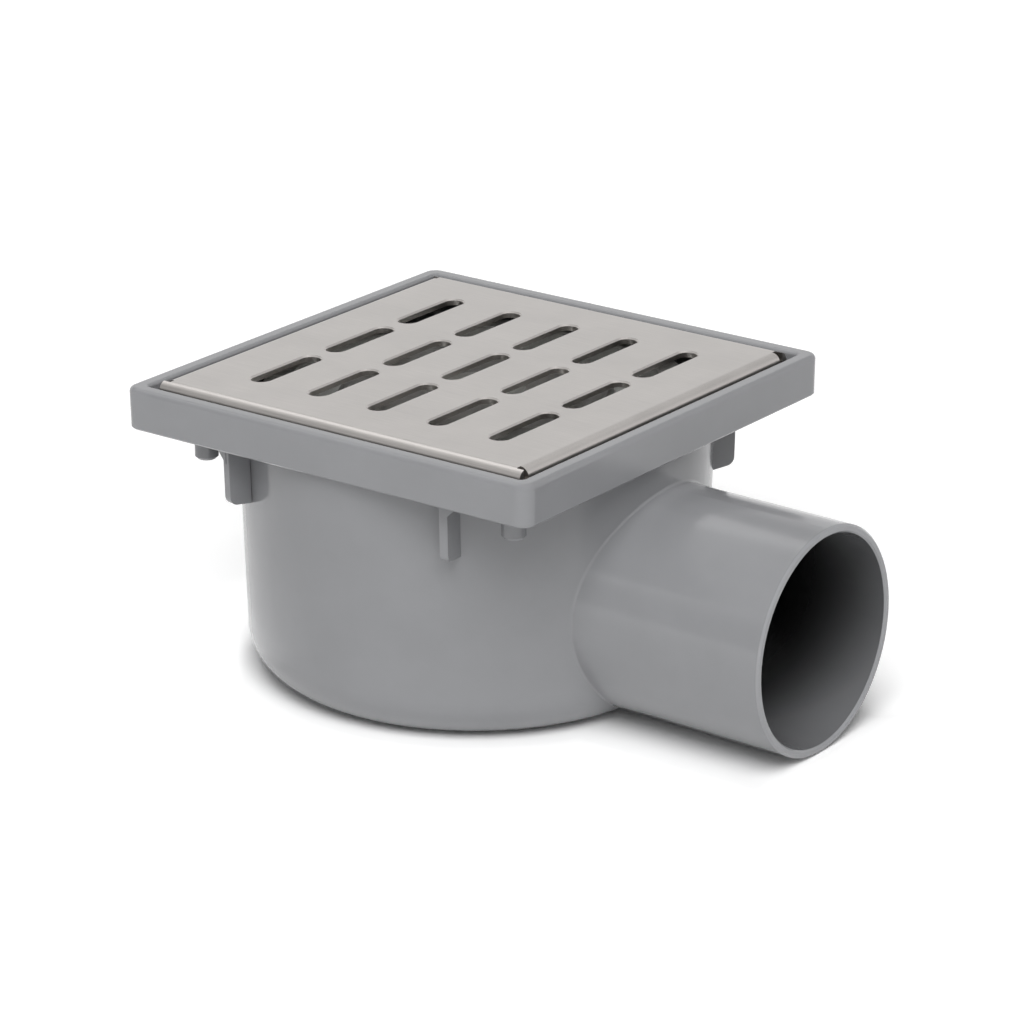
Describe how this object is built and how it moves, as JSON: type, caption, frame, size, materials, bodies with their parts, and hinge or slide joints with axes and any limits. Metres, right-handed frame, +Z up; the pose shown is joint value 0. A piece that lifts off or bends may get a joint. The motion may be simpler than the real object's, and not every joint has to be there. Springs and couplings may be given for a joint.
{
  "type": "floor gully trap",
  "caption": "Floor gully trap: square slotted steel grate in a plastic frame on a round cup with a side outlet spigot, and a lift-out bell water seal inside.",
  "frame": {"origin": "centre of the flat base of the cup, on the cup's vertical axis", "axes": "+Z up, +X from the cup axis towards the outlet spigot, +Y along the grate slots"},
  "size_m": [0.2022, 0.15, 0.0943],
  "materials": {
    "housing": "moulded, semi-gloss grey",
    "steel": "fine satin",
    "insert": "moulded, satin light grey",
    "seal": "soft matt black"
  },
  "bodies": {
    "root": {"body": "housing", "top_frame": "housing", "grate": "steel", "seal_cup": "insert", "bell": "insert", "cup_seal": "seal"}
  },
  "joints": []
}
